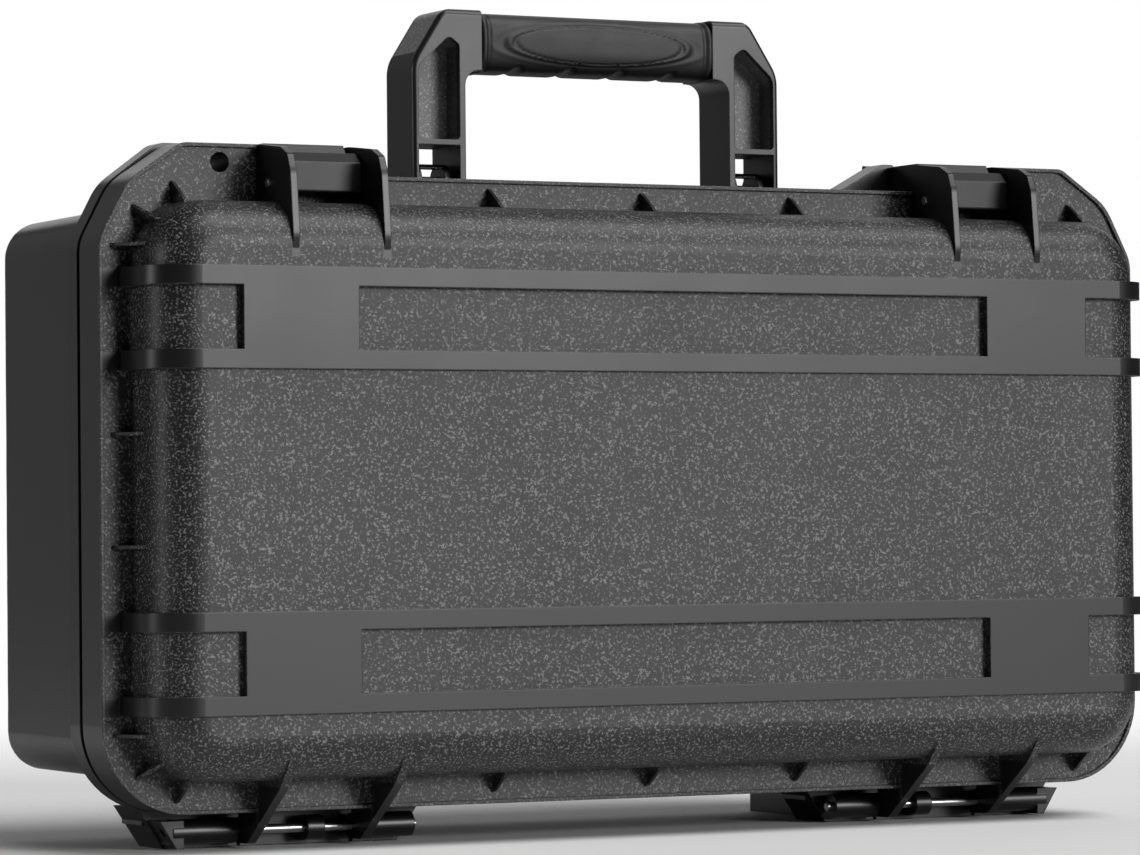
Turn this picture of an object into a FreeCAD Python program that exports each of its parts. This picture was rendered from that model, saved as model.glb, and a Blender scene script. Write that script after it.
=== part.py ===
"""Hard carrying case for a small drone: base, hinged lid, two latches and a folding handle.

The case stands upright on its hinge side. X runs along its width, Y from the lid's front to the
base's back, Z up. The origin is on the floor, under the middle of the whole case. Millimetres.
"""
import FreeCAD, Part
import math
import os

Vec = FreeCAD.Vector

# outside sizes
RIM_HALF = 260.0
RIM_BOTTOM = 16.0
RIM_TOP = 287.7
LID_SHOULDER = 300.0
BASE_SHOULDER = 301.5
BAND_Y = -92.5
FACE_Y = -90.5
LIP_Y = -56.0
FLANGE_Y = -54.6
FLANGE_BACK_Y = -47.5
PARTING_Y = -34.3
RIM_BACK_Y = -20.5
BACK_Y = 92.5
PARTING_GAP = 0.2
GROOVE_WIDTH = 2.8
GROOVE_DEPTH = 1.6

# lid moulding
LID_HALF = 248.0
LID_BOTTOM = 28.3
LID_TOP = 276.4
LID_CORNER = 28.0
LID_EDGE = 19.0
LID_DRAFT_X = 0.085
LID_DRAFT_Z = 0.05
LID_WALL = 4.5
LIP_WIDTH = 1.6
MID_Z = 152.4
BAND_OFFSET = 72.4
BAND_HEIGHT = 43.2
BAND_SIDE = 3.5
RECESS_HEIGHT = 27.0
RECESS_DEPTH = 4.0
RECESS_HALF = 156.9
END_RECESS_X = 210.2

# base moulding
BASE_HALF = 248.0
BASE_BACK_HALF = 246.0
BASE_BOTTOM = 29.5
BASE_TOP = 274.7
BASE_DRAFT = 0.8
BASE_CORNER = 17.0
BASE_EDGE = 8.0
BASE_WALL = 4.5

# sealing channel in both rims
CHANNEL_HALF = 255.5
CHANNEL_BOTTOM = 21.5
CHANNEL_TOP = 283.2
CHANNEL_CORNER = 30.0
TONGUE_THICK = 2.5
TONGUE_FRONT_Y = -43.6
SEAL_BACK_Y = -43.9
CHANNEL_PLAY = 0.5

# latches: two ears on the lid, a lever between them
EAR_INNER = (141.1, 144.1)
EAR_OUTER = (183.7, 186.7)
LATCH_PIVOT = (-66.0, 282.8)
LATCH_PIN_R = 2.0
LEVER_HALF = 18.6
LEVER_CENTRE = 163.9
PADLOCK_X = 204.0
PADLOCK_Z = 292.0
PADLOCK_R = 4.3

# hinges
HINGE_Y = PARTING_Y
HINGE_Z = 7.5
BARREL_R = 5.5
HINGE_PIN_R = 2.0
HINGE_RIBS = (133.5, 187.0)
HINGE_RIB_THICK = 4.0
BASE_BARRELS = ((107.0, 129.8), (150.0, 158.0), (190.7, 221.0))
HOUSING_X = (97.0, 232.0)
HOUSING_FRONT_Y = -26.0
HOUSING_BACK_Y = 0.0
FOOT_BACK_Y = 72.0
FOOT_RUNNERS = (130.0, 180.0)

# handle
HANDLE_OUTER = 93.5
HANDLE_INNER = 67.5
HANDLE_TOP = 366.5
HANDLE_PIVOT = (-2.5, 290.0)
HANDLE_HALF_DEPTH = 14.0
HANDLE_PIN_R = 2.5
HANDLE_SLOPE = 15.5
HANDLE_SHOULDER = 342.5
HANDLE_EDGE = 2.0
LEG_WALL = 2.8
GRIP_HALF = 59.0
GRIP_BOTTOM = 339.5

# pressure valve in the top wall of the base
VALVE_Y = 18.0
VALVE_R = 11.0
VALVE_STEM_R = 7.0

# foam
TRAY_FRONT_Y = -33.0
TRAY_BACK_Y = 58.0
FOAM_PLAY = 0.8

FIXED_PLAY = 0.02
RUNNING_PLAY = 0.06

# foam pockets: (x low, x high), (z low, z high), depth
POCKET_CORNER = 8.0
BATTERY_X = (-12.0, 54.0, 120.0)
BATTERY_WIDTH = 52.0
POCKETS = [
    ((-222.0, -32.0), (92.0, 212.0), 86.0),  # folded drone
    ((-222.0, -32.0), (228.0, 256.0), 40.0),  # spare propellers
    ((-222.0, -32.0), (48.0, 76.0), 40.0),  # cables
    ((-12.0, 172.0), (150.0, 256.0), 70.0),  # remote controller
    ((188.0, 228.0), (48.0, 256.0), 60.0),  # charger
] + [((x, x + BATTERY_WIDTH), (48.0, 134.0), 75.0) for x in BATTERY_X]


def box(x, y, z):
    """Box from three (low, high) pairs."""
    return Part.makeBox(x[1] - x[0], y[1] - y[0], z[1] - z[0], Vec(x[0], y[0], z[0]))


def rod(radius, x, y, z):
    """Cylinder along X from x[0] to x[1]."""
    return Part.makeCylinder(radius, x[1] - x[0], Vec(x[0], y, z), Vec(1, 0, 0))


def rounded_wire(corners, place):
    """Closed wire through (u, v, radius) corners, each rounded by its radius."""
    count = len(corners)
    starts, ends, middles = [], [], []
    for i, (u, v, radius) in enumerate(corners):
        here = Vec(u, v, 0)
        if radius <= 0:
            starts.append(here)
            ends.append(here)
            middles.append(here)
            continue
        to_last = (Vec(*corners[i - 1][:2], 0) - here).normalize()
        to_next = (Vec(*corners[(i + 1) % count][:2], 0) - here).normalize()
        half = to_last.getAngle(to_next) / 2
        reach = radius / math.tan(half)
        bisector = (to_last + to_next).normalize()
        starts.append(here + to_last * reach)
        ends.append(here + to_next * reach)
        middles.append(here + bisector * (radius / math.sin(half) - radius))
    edges = []
    for i in range(count):
        if corners[i][2] > 0:
            edges.append(Part.Arc(place(starts[i]), place(middles[i]), place(ends[i])).toShape())
        after = starts[(i + 1) % count]
        if (after - ends[i]).Length > 1e-4:
            edges.append(Part.LineSegment(place(ends[i]), place(after)).toShape())
    return Part.Wire(edges)


def front_plate(corners, y):
    """Plate with an (x, z, radius) outline, from y[0] to y[1]."""
    wire = rounded_wire(corners, lambda p: Vec(p.x, y[0], p.y))
    return Part.Face(wire).extrude(Vec(0, y[1] - y[0], 0))


def side_plate(corners, x):
    """Plate with a (y, z, radius) outline, from x[0] to x[1]."""
    wire = rounded_wire(corners, lambda p: Vec(x[0], p.x, p.y))
    return Part.Face(wire).extrude(Vec(x[1] - x[0], 0, 0))


def rectangle(half, bottom, top, radius):
    return [(-half, bottom, radius), (half, bottom, radius), (half, top, radius), (-half, top, radius)]


def end_edges(shape, y):
    """Edges that lie in the plane at y."""
    box_of = [(edge, edge.BoundBox) for edge in shape.Edges]
    return [edge for edge, b in box_of if abs(b.YMin - y) < 1e-3 and abs(b.YMax - y) < 1e-3]


def tub(half, bottom, top, corner, y, edge):
    """Block that tapers towards its rounded front edge, at y[0]."""
    depth = y[1] - y[0]
    front = rectangle(half - LID_DRAFT_X * depth, bottom + LID_DRAFT_Z * depth,
                      top - LID_DRAFT_Z * depth, corner - LID_DRAFT_Z * depth)
    wires = [rounded_wire(corners, lambda p, at=at: Vec(p.x, at, p.y))
             for corners, at in ((front, y[0]), (rectangle(half, bottom, top, corner), y[1]))]
    block = Part.makeLoft(wires, True, True)
    return block.makeFillet(edge, end_edges(block, y[0]))


def base_tub(inset, y):
    """Base's tapering block, rounded at its back edge, grown inwards by inset."""
    wires = []
    for half, drop, at in ((BASE_HALF, 0, y[0]), (BASE_BACK_HALF, BASE_DRAFT, y[1])):
        corners = rectangle(half - inset, BASE_BOTTOM + drop + inset, BASE_TOP - drop - inset,
                            BASE_CORNER - inset / 2)
        wires.append(rounded_wire(corners, lambda p, at=at: Vec(p.x, at, p.y)))
    block = Part.makeLoft(wires, True, True)
    return block.makeFillet(BASE_EDGE - inset / 2, end_edges(block, y[1]))


def mirrored(shape):
    return shape.mirror(Vec(0, 0, 0), Vec(1, 0, 0))


def both_sides(shapes):
    """The shapes on the right, and their mirror images on the left."""
    return shapes + [mirrored(shape) for shape in shapes]


def rim_outline(shoulder, inset=0.0):
    """Outline of a rim: low in the middle, raised shoulders outside the latches."""
    step = EAR_OUTER[0] + inset
    right = [
        (RIM_HALF - inset, RIM_BOTTOM + inset, 38 - inset),
        (RIM_HALF - inset, 258.0, 18),
        (246.5 - inset, 283.5 - inset * 0.6, 24),
        (222.0 - inset * 0.4, shoulder - inset, 8),
        (step, shoulder - inset, 2),
        (step, RIM_TOP - inset, 1),
    ]
    left = [(-x, z, radius) for x, z, radius in reversed(right)]
    return right + left


def ring(outer, inner, corner, y):
    """Rectangular ring between two (half, bottom, top) rectangles."""
    hole = front_plate(rectangle(*inner, corner - (outer[0] - inner[0])), (y[0] - 1, y[1] + 1))
    return front_plate(rectangle(*outer, corner), y).cut(hole)


def channel_ring(play_out, thick, y):
    """Ring that runs along the sealing channel's outer side."""
    outer = (CHANNEL_HALF - play_out, CHANNEL_BOTTOM + play_out, CHANNEL_TOP - play_out)
    inner = (outer[0] - thick, outer[1] + thick, outer[2] - thick)
    return ring(outer, inner, CHANNEL_CORNER - play_out, y)


def bands():
    """Two raised bands round the lid's front and sides, each with three recessed panels."""
    skin = tub(LID_HALF + BAND_SIDE, LID_BOTTOM, LID_TOP, LID_CORNER, (BAND_Y, FLANGE_Y), LID_EDGE + 2)
    floor = tub(LID_HALF - 0.3, LID_BOTTOM, LID_TOP, LID_CORNER,
                (BAND_Y + RECESS_DEPTH, FLANGE_Y), LID_EDGE)
    raised, cutters = [], []
    for centre in (MID_Z - BAND_OFFSET, MID_Z + BAND_OFFSET):
        z = (centre - BAND_HEIGHT / 2, centre + BAND_HEIGHT / 2)
        inner_z = (centre - RECESS_HEIGHT / 2, centre + RECESS_HEIGHT / 2)
        raised.append(skin.common(box((-300, 300), (-100, FLANGE_Y), z)))
        panels = [box((-RECESS_HALF, RECESS_HALF), (-100, FLANGE_Y), inner_z)]
        panels += both_sides([box((END_RECESS_X, LID_HALF + BAND_SIDE + 1), (-100, FLANGE_Y), inner_z)])
        cutters += [panel.cut(floor) for panel in panels]
    return raised, cutters


def gussets():
    """Thin triangular ribs in the corner between the lid's wall and its flange."""
    thick = 1.5
    reach = 14.0
    tall = 8.0
    rib = Part.Face(Part.makePolygon([Vec(0, FLANGE_Y + 1, -4), Vec(0, FLANGE_Y + 1, tall),
                                      Vec(0, FLANGE_Y - 1, tall), Vec(0, FLANGE_Y - reach, -1),
                                      Vec(0, FLANGE_Y - reach, -4), Vec(0, FLANGE_Y + 1, -4)]))
    rib = rib.extrude(Vec(thick, 0, 0))
    rib.translate(Vec(-thick / 2, 0, 0))
    diagonal = LID_CORNER * (1 - math.sqrt(0.5)) + 1
    spots = [(x, LID_TOP - 0.8, 0) for x in (-226, -76, 0, 76, 226)]
    spots += [(x, LID_BOTTOM + 0.8, 180) for x in (-226, -76, 0, 76, 226)]
    for z in (50.0, 129.0, 176.5, 256.0):
        spots += [(LID_HALF - 1.5, z, 90), (1.5 - LID_HALF, z, -90)]
    spots += [(LID_HALF - diagonal, LID_TOP - diagonal, 45), (diagonal - LID_HALF, LID_TOP - diagonal, -45)]
    spots += [(LID_HALF - diagonal, LID_BOTTOM + diagonal, 135)]
    spots += [(diagonal - LID_HALF, LID_BOTTOM + diagonal, -135)]
    ribs = []
    for x, z, turn in spots:
        one = rib.copy()
        one.rotate(Vec(0, 0, 0), Vec(0, 1, 0), turn)
        one.translate(Vec(x, 0, z))
        ribs.append(one)
    return ribs


def latch_ears():
    """Ears on the lid's top edge that carry a latch's pin and shield its sides."""
    root = LID_TOP - 6
    outline = [(-90.2, 252.0, 0), (-91.4, 260.0, 15), (-88.6, 287.0, 10), (-85.6, 294.0, 3),
               (-78.5, 297.5, 4), (-56.0, LID_SHOULDER, 0), (PARTING_Y - PARTING_GAP, LID_SHOULDER, 0),
               (PARTING_Y - PARTING_GAP, root, 0), (-70.0, root, 0), (-78.0, 252.0, 0)]
    return both_sides([side_plate(outline, EAR_INNER), side_plate(outline, EAR_OUTER)])


def hinge_ribs():
    """Ribs that sweep from the lid's lower edge down and back to the hinge pins."""
    low = HINGE_Z - BARREL_R
    outline = [(-75.0, 47.0, 0), (-90.0, 47.0, 0), (-87.5, 37.0, 15), (-78.0, 26.5, 20), (-44.0, low, 4),
               (HINGE_Y, low, 0),
               (HINGE_Y + BARREL_R, low, 5.2), (HINGE_Y + BARREL_R, HINGE_Z + BARREL_R, 5.2),
               (HINGE_Y - 1, HINGE_Z + BARREL_R, 0),
               (HINGE_Y - 1, 20.0, 0), (-48.0, LID_BOTTOM + 4, 0), (-75.0, LID_BOTTOM + 5, 0)]
    half = HINGE_RIB_THICK / 2
    return both_sides([side_plate(outline, (x - half, x + half)) for x in HINGE_RIBS])


def lid_shell():
    back = PARTING_Y - PARTING_GAP
    body = tub(LID_HALF, LID_BOTTOM, LID_TOP, LID_CORNER, (FACE_Y, back), LID_EDGE)
    flange = front_plate(rim_outline(LID_SHOULDER), (LIP_Y, back))
    raised, recesses = bands()
    outside = flange.cut(front_plate(rim_outline(LID_SHOULDER, LIP_WIDTH), (LIP_Y - 1, FLANGE_Y)))
    outside = outside.fuse([body] + raised + gussets() + latch_ears() + hinge_ribs())
    wall_in = (LID_HALF + 0.3, LID_BOTTOM - 0.3, LID_TOP + 0.3)
    channel = ring((CHANNEL_HALF, CHANNEL_BOTTOM, CHANNEL_TOP), wall_in, CHANNEL_CORNER,
                   (FLANGE_BACK_Y, back + 1))
    cavity = tub(LID_HALF - LID_WALL, LID_BOTTOM + LID_WALL, LID_TOP - LID_WALL, LID_CORNER - LID_WALL,
                 (FACE_Y + LID_WALL + 0.5, back + 1), LID_EDGE - LID_WALL)
    shell = outside.cut(recesses + [channel, cavity])
    swing = 9.3
    clear_barrels = [rod(swing, (a - 0.6, b + 0.6), HINGE_Y, HINGE_Z) for a, b in BASE_BARRELS]
    holes = [rod(HINGE_PIN_R + RUNNING_PLAY, (100, 225), HINGE_Y, HINGE_Z),
             rod(LATCH_PIN_R + FIXED_PLAY, (135, 195), *LATCH_PIVOT),
             Part.makeCylinder(PADLOCK_R, 40, Vec(PADLOCK_X, LIP_Y - 2, PADLOCK_Z), Vec(0, 1, 0))]
    return shell.cut(both_sides(clear_barrels + holes)).removeSplitter()


def lid_seal():
    """Square rubber cord lying in the bottom of the lid's channel."""
    return channel_ring(0.3, 5.6, (FLANGE_BACK_Y + 0.1, SEAL_BACK_Y))


def hinge_housing():
    """Block under the base's rim that carries the hinge barrels and two feet."""
    x0, x1 = HOUSING_X
    slope = 12.0
    front = [(x0, RIM_BOTTOM + 2, 0), (x0 + slope, 0, 0), (x1 - slope, 0, 0), (x1, RIM_BOTTOM + 2, 0)]
    block = front_plate(front, (HOUSING_FRONT_Y, HOUSING_BACK_Y))
    block = block.fuse(box((x0 + 4, x1 - 4), (RIM_BACK_Y - 1, HOUSING_BACK_Y), (10, BASE_BOTTOM + 3)))
    pocket = box((x0 + slope + 4, x1 - slope - 4), (HOUSING_FRONT_Y + 5, HOUSING_BACK_Y - 4), (-1, 14))
    runners = [box((x - 4, x + 4), (HOUSING_BACK_Y - 5, FOOT_BACK_Y), (0, BASE_BOTTOM + 3))
               for x in FOOT_RUNNERS]
    heel = box((FOOT_RUNNERS[0], FOOT_RUNNERS[1]), (FOOT_BACK_Y - 6, FOOT_BACK_Y), (0, BASE_BOTTOM + 3))
    last = BASE_BARRELS[-1][1]
    cheek = [(last - 5, 12.5, 0), (last + 6, 12.5, 0), (last - 1.5, 0.6, 0), (last - 5, 0.6, 0)]
    barrels = [front_plate(cheek, (HINGE_Y - 5, HOUSING_FRONT_Y + 1))]
    for a, b in BASE_BARRELS:
        barrels.append(rod(BARREL_R, (a, b), HINGE_Y, HINGE_Z))
        barrels.append(box((a, b), (HINGE_Y, HOUSING_FRONT_Y + 1), (HINGE_Z - BARREL_R, HINGE_Z + 2.5)))
    return block.cut(pocket).fuse(runners + [heel] + barrels)


def handle_lug():
    """Upright lug that stands between the two walls of a handle leg."""
    y, z = HANDLE_PIVOT
    outline = [(y - 12, BASE_TOP - 3, 0), (y - 8, z, 0), (y - 8, z + 8, 7.9), (y + 8, z + 8, 7.9),
               (y + 8, z, 0), (y + 12, BASE_TOP - 3, 0)]
    x = (HANDLE_INNER + LEG_WALL + 1.5, HANDLE_OUTER - LEG_WALL - 1.5)
    lug = side_plate(outline, x)
    slot = box((x[0] + 3, x[1] - 3), (y - 20, y + 20), (BASE_TOP + 3, z + 6))
    return lug.cut(slot)


def latch_guard():
    """Shoulder of the base's rim beside a latch, with a ramp down towards the middle."""
    outline = [(113.0, RIM_TOP - 2, 0), (113.0, RIM_TOP, 0), (138.5, BASE_SHOULDER, 0),
               (EAR_INNER[1], BASE_SHOULDER, 1), (EAR_INNER[1], RIM_TOP - 2, 0)]
    return front_plate(outline, (PARTING_Y + PARTING_GAP, RIM_BACK_Y))


def base_shell():
    front = PARTING_Y + PARTING_GAP
    rim = front_plate(rim_outline(BASE_SHOULDER), (front + GROOVE_WIDTH, RIM_BACK_Y))
    groove = front_plate(rim_outline(BASE_SHOULDER, GROOVE_DEPTH), (front, front + GROOVE_WIDTH + 0.2))
    body = base_tub(0, (front, BACK_Y))
    rear_ring = ring((CHANNEL_HALF, CHANNEL_BOTTOM, CHANNEL_TOP), (BASE_HALF, BASE_BOTTOM, BASE_TOP),
                     CHANNEL_CORNER - 2, (-28.0, RIM_BACK_Y + 1))
    outside = rim.cut(rear_ring).fuse([groove, body])
    tongue = channel_ring(CHANNEL_PLAY, TONGUE_THICK, (TONGUE_FRONT_Y, front + 1))
    outside = outside.fuse([tongue] + both_sides([hinge_housing(), handle_lug(), latch_guard()]))
    cavity = base_tub(BASE_WALL, (front - 1, BACK_Y - BASE_WALL))
    shell = outside.cut(cavity)
    half = HINGE_RIB_THICK / 2 + 0.8
    swing = [rod(BARREL_R + 3.4, (x - half, x + half), HINGE_Y, HINGE_Z) for x in HINGE_RIBS]
    swing += [box((x - half, x + half), (HINGE_Y - 9, HINGE_Y + 10), (-1, HINGE_Z)) for x in HINGE_RIBS]
    padlock = Part.makeCylinder(PADLOCK_R, 30, Vec(PADLOCK_X, front - 2, PADLOCK_Z), Vec(0, 1, 0))
    holes = [rod(HINGE_PIN_R + FIXED_PLAY, (100, 225), HINGE_Y, HINGE_Z),
             rod(HANDLE_PIN_R + RUNNING_PLAY, (60, 100), *HANDLE_PIVOT), padlock]
    valve_hole = Part.makeCylinder(VALVE_STEM_R + FIXED_PLAY, 20, Vec(0, VALVE_Y, BASE_TOP - 15))
    return shell.cut(both_sides(swing + holes) + [valve_hole]).removeSplitter()


def latch_lever():
    """Lever hooked over the base's rim: barrel in front, hollow cover, hook and pull tab behind."""
    y, z = LATCH_PIVOT
    outline = [(y - 4.6, z - 3.6, 1), (y - 4.6, z + 9.2, 1), (y + 0.5, z + 13.6, 1), (y + 10.0, z + 14.2, 0),
               (y + 13.0, z + 18.0, 1), (-12.0, z + 18.0, 0), (-4.5, z + 20.6, 1), (-4.5, z + 17.6, 1),
               (-12.5, z + 14.6, 0), (-12.5, 288.4, 1), (-18.4, 288.4, 1), (-18.4, z + 6.6, 0),
               (y + 9.5, z + 6.6, 1), (y + 7.0, z - 3.6, 1)]
    lever = side_plate(outline, (LEVER_CENTRE - LEVER_HALF, LEVER_CENTRE + LEVER_HALF))
    inner = LEVER_HALF - 2.6
    hollow = box((LEVER_CENTRE - inner, LEVER_CENTRE + inner), (y + 12.5, -20.5), (z, z + 15.2))
    bore = rod(LATCH_PIN_R + RUNNING_PLAY, (130, 200), y, z)
    return lever.cut([hollow, bore])


def handle_frame():
    """Moulded frame: two boxed legs joined by a core bar that the grip covers."""
    y, z = HANDLE_PIVOT
    y_span = (y - HANDLE_HALF_DEPTH, y + HANDLE_HALF_DEPTH)
    low = z - HANDLE_HALF_DEPTH
    top_x = HANDLE_OUTER - HANDLE_SLOPE
    outer = [(HANDLE_OUTER, low, 0), (HANDLE_OUTER, HANDLE_SHOULDER, 16), (top_x, HANDLE_TOP, 8),
             (-top_x, HANDLE_TOP, 8), (-HANDLE_OUTER, HANDLE_SHOULDER, 16), (-HANDLE_OUTER, low, 0),
             (-HANDLE_INNER, low, 0), (-HANDLE_INNER, GRIP_BOTTOM, 7), (HANDLE_INNER, GRIP_BOTTOM, 7),
             (HANDLE_INNER, low, 0)]
    frame = front_plate(outer, y_span)
    rims = [(edge, edge.BoundBox) for y_end in y_span for edge in end_edges(frame, y_end)]
    outside = [edge for edge, b in rims if b.ZMax > low + 1
               and (b.ZMax > GRIP_BOTTOM + 1 or max(b.XMax, -b.XMin) > HANDLE_INNER + 1)]
    frame = frame.makeFillet(HANDLE_EDGE, outside)
    side = [(y_span[0], low, HANDLE_HALF_DEPTH - 0.05), (y_span[0], HANDLE_TOP, 3),
            (y_span[1], HANDLE_TOP, 3), (y_span[1], low, HANDLE_HALF_DEPTH - 0.05)]
    frame = frame.common(side_plate(side, (-HANDLE_OUTER - 1, HANDLE_OUTER + 1)))
    sleeve = box((-GRIP_HALF, GRIP_HALF), (y - 30, y + 30), (GRIP_BOTTOM - 5, HANDLE_TOP + 5))
    core = box((-GRIP_HALF - 1, GRIP_HALF + 1), (y - 9, y + 9), (GRIP_BOTTOM + 5, HANDLE_TOP - 5))
    frame = frame.cut(sleeve).fuse(core)
    wall = LEG_WALL
    bar_z = 307.0
    pocket = [(HANDLE_OUTER - wall, bar_z + 1.2, 2), (HANDLE_OUTER - wall, HANDLE_SHOULDER - 2, 6),
              (HANDLE_INNER + wall + 5, HANDLE_TOP - 12, 3), (HANDLE_INNER + wall, HANDLE_TOP - 16, 2),
              (HANDLE_INNER + wall, bar_z + 1.2, 2)]
    window = box((HANDLE_INNER + wall, HANDLE_OUTER - wall), (y - 20, y + 20), (low - 1, bar_z - 1.2))
    cutters = [front_plate(pocket, (y_span[0] - 1, y - 1.2)), front_plate(pocket, (y + 1.2, y_span[1] + 1)),
               window, rod(HANDLE_PIN_R + FIXED_PLAY, (60, 100), *HANDLE_PIVOT)]
    return frame.cut(both_sides(cutters)).removeSplitter()


def handle_grip():
    """Rubber sleeve with an oval pad on each side and finger scallops below."""
    y, z = HANDLE_PIVOT
    half = HANDLE_HALF_DEPTH + 0.6
    low = GRIP_BOTTOM - 1.0
    section = [(y - half, low, 9), (y + half, low, 9), (y + half, HANDLE_TOP, 9), (y - half, HANDLE_TOP, 9)]
    x = (-GRIP_HALF + 0.4, GRIP_HALF - 0.4)
    grip = side_plate(section, x)
    hole = box((x[0] - 1, x[1] + 1), (y - 9.05, y + 9.05), (GRIP_BOTTOM + 4.95, HANDLE_TOP - 4.95))
    oval = Part.Face(Part.Wire(Part.Ellipse(Vec(0, 0, 0), 42.0, 9.0).toShape()))
    oval.rotate(Vec(0, 0, 0), Vec(1, 0, 0), 90)
    pad = oval.extrude(Vec(0, 2 * half + 1.6, 0))
    pad.translate(Vec(0, y - half - 0.8, (low + HANDLE_TOP) / 2))
    scallops = [Part.makeCylinder(12.0, 60, Vec(cx, y - 30, low - 10.5), Vec(0, 1, 0))
                for cx in (-39.0, -13.0, 13.0, 39.0)]
    return grip.fuse(pad).cut([hole] + scallops)


def pin(radius, x, y, z):
    """Steel pin along X with a small chamfer at each end."""
    body = rod(radius, x, y, z)
    return body.makeChamfer(0.4, [edge for edge in body.Edges if edge.Closed])


def valve_parts():
    """Pressure valve: flanged body, knurled cap, seal under the flange and nut inside."""
    drop = BASE_DRAFT * (VALVE_Y - PARTING_Y) / (BACK_Y - PARTING_Y)
    at = Vec(0, VALVE_Y, BASE_TOP - drop)
    body = Part.makeCylinder(VALVE_R + 3, 2.2, at + Vec(0, 0, 1.2))
    body = body.fuse(Part.makeCylinder(VALVE_STEM_R, 17.0, at - Vec(0, 0, 15.0)))
    body = body.cut(Part.makeCylinder(2.0, 30, at - Vec(0, 0, 16)))
    cap = Part.makeCylinder(VALVE_R, 4.5, at + Vec(0, 0, 3.4))
    cap = cap.makeChamfer(0.8, [e for e in cap.Edges if e.Closed and e.BoundBox.ZMin > at.z + 5])
    for i in range(24):
        angle = math.radians(i * 15)
        groove = Part.makeCylinder(0.8, 10, at + Vec(VALVE_R * math.cos(angle), VALVE_R * math.sin(angle), 2))
        cap = cap.cut(groove)
    seal = Part.makeCylinder(VALVE_R + 2.4, 0.9, at + Vec(0, 0, 0.2))
    seal = seal.cut(Part.makeCylinder(VALVE_STEM_R + 0.1, 6, at - Vec(0, 0, 2)))
    corners = [at + Vec(11 * math.cos(math.radians(60 * i)), 11 * math.sin(math.radians(60 * i)), 0)
               for i in range(6)]
    nut = Part.Face(Part.makePolygon(corners + corners[:1])).extrude(Vec(0, 0, 5.0))
    nut.translate(Vec(0, 0, -BASE_WALL - 6.0))
    nut = nut.cut(Part.makeCylinder(VALVE_STEM_R + FIXED_PLAY, 30, at - Vec(0, 0, 25)))
    return {"valve_body": body, "valve_cap": cap, "valve_seal": seal, "valve_nut": nut}


def foam_block(y):
    """Foam that fills the base between two planes, a little clear of the shell."""
    inside = base_tub(BASE_WALL + FOAM_PLAY, (PARTING_Y, BACK_Y - BASE_WALL - FOAM_PLAY))
    return inside.common(box((-RIM_HALF, RIM_HALF), y, (0, RIM_TOP)))


def foam_tray():
    """Main foam insert with a pocket for each thing that the case carries."""
    tray = foam_block((TRAY_FRONT_Y, TRAY_BACK_Y))
    cutters = []
    for x, z, depth in POCKETS:
        half = (x[1] - x[0]) / 2
        middle = (x[0] + x[1]) / 2
        corners = [(u + middle, v, radius) for u, v, radius in rectangle(half, *z, POCKET_CORNER)]
        cutters.append(front_plate(corners, (TRAY_FRONT_Y - 1, TRAY_FRONT_Y + depth)))
    cutters.append(box((-16, 16), (VALVE_Y - 16, VALVE_Y + 16), (BASE_TOP - 19, BASE_TOP)))
    return tray.cut(cutters)


def foam_pad():
    """Flat foam under the tray, against the base's back wall."""
    return foam_block((TRAY_BACK_Y + 0.4, BACK_Y))


def lid_foam():
    """Foam that fills the lid; its back face stops short of the tray."""
    wall = LID_WALL + FOAM_PLAY
    return tub(LID_HALF - wall, LID_BOTTOM + wall, LID_TOP - wall, LID_CORNER - wall,
               (FACE_Y + wall + 0.5, PARTING_Y - 2.5), LID_EDGE - wall)


def parts():
    """Every piece of the case, by node name."""
    lever = latch_lever()
    hinge_pin = pin(HINGE_PIN_R, (104.4, 221.6), HINGE_Y, HINGE_Z)
    latch_pin = pin(LATCH_PIN_R, (EAR_INNER[0] - 0.8, EAR_OUTER[1] + 0.8), *LATCH_PIVOT)
    handle_pin = pin(HANDLE_PIN_R, (HANDLE_INNER - 0.7, HANDLE_OUTER + 0.7), *HANDLE_PIVOT)
    made = {
        "base_shell": base_shell(),
        "lid_shell": lid_shell(),
        "lid_seal": lid_seal(),
        "handle_frame": handle_frame(),
        "handle_grip": handle_grip(),
        "base_foam_tray": foam_tray(),
        "base_foam_pad": foam_pad(),
        "lid_foam": lid_foam(),
    }
    made.update(valve_parts())
    for name, shape in (("latch_lever", lever), ("latch_pin", latch_pin), ("hinge_pin", hinge_pin),
                        ("handle_pin", handle_pin)):
        made[name + "_right"] = shape
        made[name + "_left"] = mirrored(shape)
    return made


os.makedirs("parts", exist_ok=True)
for node, solid in parts().items():
    print(node, solid.isValid(), len(solid.Solids), round(solid.Volume / 1000, 1))
    solid.exportStep("parts/" + node + ".step")
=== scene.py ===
import math

import bmesh
import bpy
from mathutils import Matrix, Vector, noise


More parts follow.
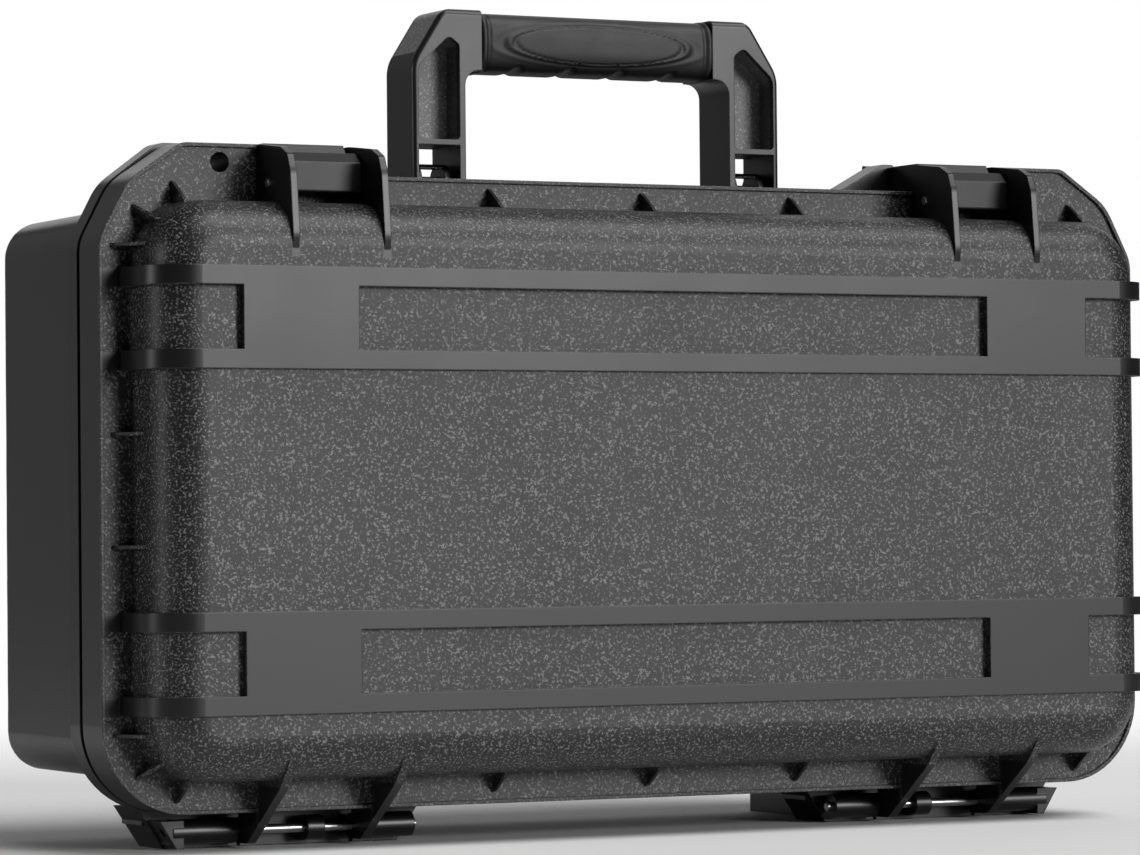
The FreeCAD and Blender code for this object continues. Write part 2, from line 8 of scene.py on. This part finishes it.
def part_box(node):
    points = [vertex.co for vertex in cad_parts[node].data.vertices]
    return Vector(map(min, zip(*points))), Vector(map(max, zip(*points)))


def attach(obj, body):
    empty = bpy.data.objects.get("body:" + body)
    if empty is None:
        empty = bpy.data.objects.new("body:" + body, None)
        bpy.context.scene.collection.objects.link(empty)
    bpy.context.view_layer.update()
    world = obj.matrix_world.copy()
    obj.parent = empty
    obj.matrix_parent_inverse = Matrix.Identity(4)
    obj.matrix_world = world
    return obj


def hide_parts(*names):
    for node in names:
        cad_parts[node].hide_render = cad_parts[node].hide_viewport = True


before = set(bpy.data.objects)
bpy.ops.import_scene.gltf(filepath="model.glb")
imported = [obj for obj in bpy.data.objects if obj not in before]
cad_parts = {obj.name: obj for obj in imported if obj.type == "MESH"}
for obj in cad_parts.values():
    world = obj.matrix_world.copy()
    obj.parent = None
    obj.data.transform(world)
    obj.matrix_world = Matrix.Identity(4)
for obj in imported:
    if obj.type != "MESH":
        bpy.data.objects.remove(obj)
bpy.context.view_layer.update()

# The camera stands low and far off in front of the case's left end, level with the lower part
# of the lid, so that the lid's front, its left side and the base's left side all show.
yaw = math.radians(28.0)
pitch = math.radians(1.2)
roll = math.radians(-0.52)
ahead = Vector((math.sin(yaw) * math.cos(pitch), math.cos(yaw) * math.cos(pitch), math.sin(pitch)))
level = Vector((math.cos(yaw), -math.sin(yaw), 0.0))
upright = level.cross(ahead)
right = level * math.cos(roll) + upright * math.sin(roll)
above = upright * math.cos(roll) - level * math.sin(roll)
camera = bpy.data.objects.new("camera", bpy.data.cameras.new("camera"))
camera.matrix_world = Matrix((right, above, -ahead)).transposed().to_4x4()
camera.location = (-1.06472, -1.98801, 0.13379)
camera.data.sensor_width = 36.0
camera.data.lens = 157.3
bpy.context.scene.collection.objects.link(camera)
bpy.context.scene.camera = camera
bpy.context.scene.view_settings.view_transform = "Standard"


# The base shell is one deep injection moulding in black polypropylene. Its tub is satin, with a
# fine skin from the tool, and its back panel, which the case lies on, has a pebbled grain with
# painted glints on the pebble tops.
class Shade:
    """A socket in a node tree. Sums and products of shades add Math nodes to the tree."""

    def __init__(self, tree, socket):
        self.tree = tree
        self.socket = socket

    def node(self, kind, settings, values, output=0):
        """Adds a node: its settings come first, then the values or links of its sockets."""
        made = self.tree.nodes.new("ShaderNode" + kind)
        for name, value in settings.items():
            setattr(made, name, value)
        for name, value in values.items():
            if isinstance(value, Shade):
                self.tree.links.new(value.socket, made.inputs[name])
            else:
                made.inputs[name].default_value = value
        return Shade(self.tree, made.outputs[output])

    def maths(self, operation, *values):
        return self.node("Math", {"operation": operation}, dict(enumerate(values)))

    def __add__(self, other):
        return self.maths("ADD", self, other)

    def __radd__(self, other):
        return self.maths("ADD", other, self)

    def __sub__(self, other):
        return self.maths("SUBTRACT", self, other)

    def __rsub__(self, other):
        return self.maths("SUBTRACT", other, self)

    def __mul__(self, other):
        return self.maths("MULTIPLY", self, other)

    def __rmul__(self, other):
        return self.maths("MULTIPLY", other, self)

    def __abs__(self):
        return self.maths("ABSOLUTE", self)

    def step(self, start, end):
        """0 up to start and 1 from end on, with a smooth turn between them."""
        return self.node(
            "MapRange",
            {"interpolation_type": "SMOOTHSTEP"},
            {"Value": self, "From Min": start, "From Max": end},
        )

    def mix(self, first, second):
        """The first colour where this shade is 0 and the second where it is 1."""
        return self.node("Mix", {"data_type": "RGBA"}, {0: self, 6: first, 7: second}, output=2)

    def axis(self, name):
        return self.node("SeparateXYZ", {}, {0: self}, output=name)

    def noise(self, size, detail=2.0, roughness=0.5):
        """Cloudy noise from 0 to 1 whose lumps are about size across."""
        return self.node(
            "TexNoise", {}, {"Vector": self, "Scale": 1.0 / size, "Detail": detail, "Roughness": roughness}
        )

    def cells(self, size):
        """Distance to the nearest cell's middle, for cells about size across."""
        return self.node("TexVoronoi", {}, {"Vector": self, "Scale": 1.0 / size})

    def stretched(self, factors):
        return self.node("VectorMath", {"operation": "MULTIPLY"}, {0: self, 1: factors})

    def bump(self, height, normal):
        """The normal of a surface raised by this shade times height."""
        return self.node("Bump", {}, {"Strength": 1.0, "Distance": height, "Height": self, "Normal": normal})


def grey(value, blue=0.0):
    """A near-neutral colour, a little cooler where blue is above 0."""
    return (value, value, value * (1.0 + blue), 1.0)


def make_finish(name, constants, build):
    """A material whose constants are set on the shader and whose varying sockets build works out."""
    material = bpy.data.materials.new(name)
    material.use_nodes = True
    tree = material.node_tree
    shader = tree.nodes["Principled BSDF"]
    for socket, value in constants.items():
        shader.inputs[socket].default_value = value
    place = Shade(tree, tree.nodes.new("ShaderNodeTexCoord").outputs["Object"])
    for socket, shade in build(place).items():
        tree.links.new(shade.socket, shader.inputs[socket])
    return material


def rounded_edge(place, radius):
    """The surface normal with every sharp edge turned to a small round one."""
    return place.node("Bevel", {"samples": 4}, {"Radius": radius})


def edge_wear(place, normal):
    """1 on the outermost turn of each edge, where handling polishes it, and 0 on the flats."""
    flat = place.node("NewGeometry", {}, {}, output="Normal")
    agreement = place.node("VectorMath", {"operation": "DOT_PRODUCT"}, {0: flat, 1: normal}, output=1)
    return agreement.step(0.995, 0.86)


def moulded_plastic(name, tone, gloss, grain_at=None, bloom_and_sheen=0.0):
    """Moulded polypropylene: a satin skin, and a mottled grain wherever grain_at gives 1.

    The grained areas can be painted paler, a painted sheen standing for the light that a coarse
    tool finish scatters, and the grain's pebble tops are painted pale as painted glints.
    """

    def build(place):
        soft = rounded_edge(place, 0.0006)
        wear = edge_wear(place, soft)
        skin = place.noise(0.0006, 1.0)
        clouds = place.noise(0.05, 3.0, 0.6)
        height = skin * 0.04
        colour = (clouds * 0.5 + wear * 0.4).mix(grey(tone * 0.8), grey(tone * 1.4, 0.03))
        rough = gloss + (clouds - 0.5) * 0.10 - wear * 0.05
        if grain_at:
            grain = grain_at(place)
            pebble = place.noise(0.0010, 1.5, 0.6).step(0.50, 0.72)
            # The grain's pebble tops are painted pale: painted glints over the real bumps.
            painted_glint = pebble * grain
            height = height + grain * (pebble * 0.5 + skin * 0.3)
            # Here the grained areas are painted paler: a painted sheen for the light that a coarse tool
            # finish scatters.
            if bloom_and_sheen:
                colour = (grain * bloom_and_sheen).mix(colour, grey(0.30, 0.02))
            colour = painted_glint.mix(colour, grey(tone * 28.0 + bloom_and_sheen * 0.3, 0.02))
            rough = rough + grain * 0.11 - painted_glint * 0.10
        return {
            "Base Color": colour,
            "Roughness": rough,
            "Normal": height.bump(0.00010, soft),
        }

    return make_finish(name, {"IOR": 1.49, "Specular IOR Level": 0.5}, build)


def dress(node, material):
    """Gives a CAD node its finish."""
    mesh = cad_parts[node].data
    mesh.materials.clear()
    mesh.materials.append(material)


BACK_PANEL_Y = 0.0905


def back_panel(place):
    return place.axis("Y").step(BACK_PANEL_Y, BACK_PANEL_Y + 0.001)


dress("base_shell", moulded_plastic("base_plastic", 0.006, 0.32, back_panel))


# Two steel pins join the lid's ribs to the base's barrels at the foot, and the handle and the
# latches turn on shorter ones. They are drawn rod, cut to length, with fine marks along them.
def drawn_steel(place):
    marks = place.stretched((60.0, 2400.0, 2400.0)).noise(1.0, 3.0, 0.7)
    patina = place.noise(0.004, 3.0, 0.6)
    return {
        "Base Color": patina.mix(grey(0.36, 0.01), grey(0.62, -0.02)),
        "Roughness": 0.2 + marks * 0.22,
        "Normal": marks.bump(0.00002, rounded_edge(place, 0.0003)),
    }


steel = make_finish("drawn_steel", {"Metallic": 1.0}, drawn_steel)
for joint in ("hinge", "handle", "latch"):
    for side in ("left", "right"):
        dress(f"{joint}_pin_{side}", steel)


# The pressure valve sits in the base's top wall: a moulded body with a knurled cap, which a nut
# holds from inside on a rubber ring. It lets the sealed case breathe in an aircraft.
fittings = moulded_plastic("valve_plastic", 0.007, 0.34)
for node in ("valve_body", "valve_cap", "valve_nut"):
    dress(node, fittings)


# The lid's seal is a square rubber cord laid in the lid's channel, where the base's ridge
# presses into it. The same rubber makes the ring under the valve.
def seal_rubber(place):
    bloom_and_sheen = place.noise(0.012, 4.0, 0.6)
    pores = place.noise(0.0005, 2.0)
    return {
        "Base Color": bloom_and_sheen.mix(grey(0.012), grey(0.03, 0.03)),
        "Roughness": 0.62 + bloom_and_sheen * 0.15,
        "Normal": pores.bump(0.00004, rounded_edge(place, 0.0005)),
    }


rubber = make_finish("seal_rubber", {}, seal_rubber)
dress("lid_seal", rubber)
dress("valve_seal", rubber)


# Two blocks of closed-cell foam fill the base: a tray cut out with eight pockets, and a pad
# behind it. The cut edges are soft, and the faces are never quite flat.
def cut_foam(place):
    pores = place.cells(0.0011)
    fine = place.noise(0.0006, 2.0)
    shade = place.noise(0.03, 3.0, 0.6)
    # The colour is darker along the pores' cell borders, where the bump sinks: painted shade in those
    # hollows, mixed with a random tone.
    return {
        "Base Color": (shade * 0.5 + pores * 0.5).mix(grey(0.028, 0.02), grey(0.009, 0.02)),
        "Roughness": 0.86 + fine * 0.1,
        "Normal": (fine * 0.5 - pores).bump(0.00035, place.node("NewGeometry", {}, {}, output="Normal")),
    }


foam = make_finish("foam", {"Sheen Weight": 0.12, "Sheen Roughness": 0.6}, cut_foam)


def foam_piece(name, node, body, voxel, shape):
    """A soft-edged copy of a CAD foam block, each point moved by what shape gives for it."""
    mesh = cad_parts[node].data.copy()
    mesh.materials.clear()
    bm = bmesh.new()
    bm.from_mesh(mesh)
    bmesh.ops.remove_doubles(bm, verts=bm.verts, dist=0.000002)
    bm.to_mesh(mesh)
    bm.free()
    block = bpy.data.objects.new(name + "_block", mesh)
    bpy.context.scene.collection.objects.link(block)
    remesh = block.modifiers.new("remesh", "REMESH")
    remesh.mode = "VOXEL"
    remesh.voxel_size = voxel
    smooth = block.modifiers.new("smooth", "SMOOTH")
    smooth.factor = 0.5
    smooth.iterations = 6
    depsgraph = bpy.context.evaluated_depsgraph_get()
    finished = bpy.data.meshes.new_from_object(block.evaluated_get(depsgraph))
    bpy.data.objects.remove(block)
    piece = bpy.data.objects.new(name, finished)
    bpy.context.scene.collection.objects.link(piece)
    moves = [shape(vertex.co, vertex.normal) for vertex in finished.vertices]
    for vertex, move in zip(finished.vertices, moves):
        vertex.co += move
    finished.shade_smooth()
    finished.materials.clear()
    finished.materials.append(foam)
    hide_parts(node)
    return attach(piece, body)


def uneven(place, normal):
    """The slight waviness of a hand-cut foam face."""
    return normal * 0.0004 * noise.noise(place * 28.0) - normal * 0.0002


foam_piece("foam_tray", "base_foam_tray", "base", 0.0028, uneven)
foam_piece("foam_pad", "base_foam_pad", "base", 0.004, uneven)


# The lid shell is the second moulding: a shallow block with two raised belts round it. The belts
# and the ribs are satin, and the front, the flange and the belts' sunk panels are pebbled, with
# painted glints on the pebble tops.
BELT_MIDDLE = 0.1524
BELT_OFFSET = 0.0724
BELT_HALF = 0.0217
PANEL_HALF = 0.0135
FLANGE_FRONT = -0.0543
RIB_FRONT = -0.0568
BLOCK_TOP = 0.2775
BLOCK_BOTTOM = 0.0275
BLOCK_END = 0.2495
MIDDLE_PANEL_END = 0.1569
END_PANEL_START = 0.2102
LATCH_X = 0.1639
EAR_OFFSET = 0.0213
EAR_HALF = 0.0020
EAR_FOOT = 0.250
BLUR = 0.0002


def lid_grain(place):
    x = abs(place.axis("X"))
    y = place.axis("Y")
    z = place.axis("Z")
    off_belt = abs(abs(z - BELT_MIDDLE) - BELT_OFFSET)
    belt = off_belt.step(BELT_HALF, BELT_HALF - BLUR)
    panel_height = off_belt.step(PANEL_HALF + BLUR, PANEL_HALF)
    middle_panel = x.step(MIDDLE_PANEL_END + BLUR, MIDDLE_PANEL_END)
    end_panels = x.step(END_PANEL_START - BLUR, END_PANEL_START)
    satin_belt = belt - belt * panel_height * (middle_panel + end_panels)
    beyond = z.step(BLOCK_TOP, BLOCK_TOP + BLUR) + z.step(BLOCK_BOTTOM, BLOCK_BOTTOM - BLUR)
    outside = (beyond + x.step(BLOCK_END, BLOCK_END + BLUR)).step(0.4, 0.6)
    ribs = outside * y.step(RIB_FRONT, RIB_FRONT - BLUR)
    off_ear = abs(abs(x - LATCH_X) - EAR_OFFSET)
    ears = off_ear.step(EAR_HALF + 0.0001, EAR_HALF - 0.0001) * z.step(EAR_FOOT, EAR_FOOT + 0.001)
    front = y.step(FLANGE_FRONT, FLANGE_FRONT - BLUR)
    satin = (satin_belt + ribs + ears).step(0.3, 0.7)
    return front * (1.0 - satin)


dress("lid_shell", moulded_plastic("lid_plastic", 0.006, 0.33, lid_grain))


# The lid is lined with convoluted foam, whose rows of rounded peaks press on what lies in the
# tray's pockets when the case is shut.
lid_low, lid_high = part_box("lid_foam")
PEAK_PITCH = 0.034
PEAK_HEIGHT = 0.016
FOAM_BORDER = 0.016


def convoluted(place, normal):
    """Sinks the foam's open face into valleys between its peaks, inside a plain border."""
    edge = min(place.x - lid_low.x, lid_high.x - place.x, place.z - lid_low.z, lid_high.z - place.z)
    inside = min(max((edge - FOAM_BORDER * 0.5) / FOAM_BORDER, 0.0), 1.0)
    on_face = min(max((place.y - (lid_high.y - 0.006)) / 0.003, 0.0), 1.0)
    across = math.cos(math.tau * place.x / PEAK_PITCH)
    up = math.cos(math.tau * (place.z - BELT_MIDDLE) / PEAK_PITCH)
    valley = 0.5 - 0.25 * (across + up)
    return Vector((0.0, -PEAK_HEIGHT * valley * inside * on_face, 0.0)) + uneven(place, normal)


foam_piece("lid_lining", "lid_foam", "lid", 0.0028, convoluted)


# Each latch is a moulded lever that turns on a steel pin between the lid's two ears and hooks
# over the base's rim.
for side in ("left", "right"):
    dress(f"latch_lever_{side}", moulded_plastic(f"latch_plastic_{side}", 0.005, 0.44))


# The handle's frame is a stiff moulded bow that folds on two pins. Its legs are hollowed out from
# the front, and the floors of those hollows are left with a coarse tool finish, painted paler as a
# painted sheen and with painted glints on its grain.
FRAME_MIDDLE_Y = -0.0025
FRAME_HALF_DEPTH = 0.0110
LEG_X = 0.0805
LEG_HALF = 0.0102
HOLLOW_FOOT = 0.307


def handle_grain(place):
    off_middle = abs(place.axis("Y") - FRAME_MIDDLE_Y)
    depth = off_middle.step(FRAME_HALF_DEPTH + BLUR, FRAME_HALF_DEPTH - BLUR)
    off_leg = abs(abs(place.axis("X")) - LEG_X)
    within = off_leg.step(LEG_HALF + BLUR, LEG_HALF - BLUR)
    return depth * within * place.axis("Z").step(HOLLOW_FOOT, HOLLOW_FOOT + 0.001)


dress("handle_frame", moulded_plastic("handle_plastic", 0.007, 0.36, handle_grain, bloom_and_sheen=0.45))


# The grip is a rubber sleeve moulded over the handle's bar. It has a raised oval on each face, a
# rim at each end and four dents underneath that part the fingers.
grip_low, grip_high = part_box("handle_grip")
grip_middle = (grip_low + grip_high) / 2
GRIP_HALF_LENGTH = (grip_high.x - grip_low.x) / 2
GRIP_HALF_DEPTH = (grip_high.y - grip_low.y) / 2 - 0.0011
GRIP_HALF_HEIGHT = (grip_high.z - grip_low.z) / 2 - 0.0006
OVAL_LENGTH = 0.046
OVAL_HEIGHT = 0.0088
DENTS = (-0.039, -0.013, 0.013, 0.039)


def swell(distance, width):
    """A smooth hump, 1 in the middle and 0 at width from it."""
    share = min(abs(distance) / width, 1.0)
    return (1.0 - share * share) ** 2


def squared(value, power):
    """Pushes a sine or cosine outwards, which turns a circle into a rounded square."""
    return math.copysign(abs(value) ** power, value)


mesh = bpy.data.meshes.new("grip_sleeve")
bm = bmesh.new()
bmesh.ops.create_cone(bm, cap_ends=True, segments=144, radius1=1.0, radius2=1.0, depth=2.0)
long_edges = [edge for edge in bm.edges if abs(edge.verts[0].co.z - edge.verts[1].co.z) > 1.0]
bmesh.ops.subdivide_edges(bm, edges=long_edges, cuts=159, use_grid_fill=False)
bmesh.ops.rotate(bm, verts=bm.verts, matrix=Matrix.Rotation(math.pi / 2, 3, "Y"))
for vertex in bm.verts:
    x = vertex.co.x * GRIP_HALF_LENGTH
    angle = math.atan2(vertex.co.z, vertex.co.y)
    facing = squared(math.cos(angle), 0.62)
    upward = squared(math.sin(angle), 0.62)
    y = facing * GRIP_HALF_DEPTH
    z = upward * GRIP_HALF_HEIGHT
    oval = math.hypot(x / OVAL_LENGTH, z / OVAL_HEIGHT)
    on_face = min(max((abs(facing) - 0.55) / 0.3, 0.0), 1.0)
    raised = 0.0009 * (1.0 - min(max((oval - 0.90) / 0.05, 0.0), 1.0))
    raised -= 0.0010 * swell(oval - 1.0, 0.07)
    raised += 0.0002 * swell(oval - 1.20, 0.10)
    y += math.copysign(raised * on_face, facing)
    end = abs(x) - GRIP_HALF_LENGTH
    rim = 0.0006 * swell(end + 0.0011, 0.0016) - 0.0005 * swell(end + 0.0034, 0.0013)
    y += facing * rim
    z += upward * rim
    underside = min(max((-upward - 0.72) / 0.25, 0.0), 1.0)
    z += underside * sum(0.0016 * swell(x - dent, 0.0042) for dent in DENTS)
    vertex.co = Vector((x, y, z)) + grip_middle
bmesh.ops.recalc_face_normals(bm, faces=bm.faces)
caps = [edge for edge in bm.edges if len(edge.link_faces) == 2 and edge.calc_face_angle() > 1.2]
bmesh.ops.bevel(bm, geom=caps, offset=0.0005, segments=2, affect="EDGES", profile=0.5, material=-1)
bm.to_mesh(mesh)
bm.free()
mesh.shade_smooth()


def grip_rubber(place):
    dust = place.noise(0.018, 4.0, 0.62)
    skin = place.noise(0.0007, 3.0, 0.6)
    return {
        "Base Color": dust.mix(grey(0.006, 0.3), grey(0.010, 0.2)),
        "Roughness": 0.46 + dust * 0.14,
        "Normal": skin.bump(0.00005, place.node("NewGeometry", {}, {}, output="Normal")),
    }


mesh.materials.append(make_finish("grip_rubber", {"IOR": 1.52}, grip_rubber))
grip = bpy.data.objects.new("grip_sleeve", mesh)
bpy.context.scene.collection.objects.link(grip)
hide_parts("handle_grip")
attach(grip, "handle")


# The studio: a plain pale floor that fades out into a white surround, soft light from above and
# from the front right, and weaker lights that draw the left end and the back.
def paper(place):
    reach = place.node("VectorMath", {"operation": "LENGTH"}, {0: place}, output="Value")
    return {"Base Color": place.noise(0.4, 2.0).mix(grey(0.80), grey(0.83)), "Alpha": reach.step(1.5, 0.5)}


mesh = bpy.data.meshes.new("floor")
bm = bmesh.new()
bmesh.ops.create_circle(bm, cap_ends=True, segments=96, radius=1.6)
bm.to_mesh(mesh)
bm.free()
mesh.materials.append(make_finish("paper", {"Roughness": 0.9, "Specular IOR Level": 0.1}, paper))
floor = bpy.data.objects.new("floor", mesh)
bpy.context.scene.collection.objects.link(floor)

# name, direction that the light comes from, angle across in degrees, strength
LIGHTS = (
    ("overhead", (0.30, -0.42, 0.86), 42.0, 2.2),
    ("key", (0.43, -0.87, 0.22), 21.0, 1.5),
    ("left_strip", (-0.98, 0.20, 0.19), 14.0, 0.5),
    ("rear_left", (-0.80, 1.90, 0.30), 50.0, 0.10),
    ("behind", (0.60, 1.00, 0.70), 50.0, 0.5),
)
for name, source, angle, strength in LIGHTS:
    data = bpy.data.lights.new(name, "SUN")
    data.angle = math.radians(angle)
    data.energy = strength
    light = bpy.data.objects.new(name, data)
    light.rotation_euler = Vector(source).to_track_quat("Z", "Y").to_euler()
    bpy.context.scene.collection.objects.link(light)

world = bpy.data.worlds.new("studio")
world.use_nodes = True
tree = world.node_tree
surround = tree.nodes["Background"]
surround.inputs["Color"].default_value = grey(1.0)
surround.inputs["Strength"].default_value = 0.05
seen = Shade(tree, tree.nodes.new("ShaderNodeLightPath").outputs["Is Camera Ray"])
backdrop = seen.node("Background", {}, {"Color": grey(1.0), "Strength": 1.0})
both = seen.node("MixShader", {}, {0: seen, 1: Shade(tree, surround.outputs[0]), 2: backdrop})
tree.links.new(both.socket, tree.nodes["World Output"].inputs["Surface"])
bpy.context.scene.world = world
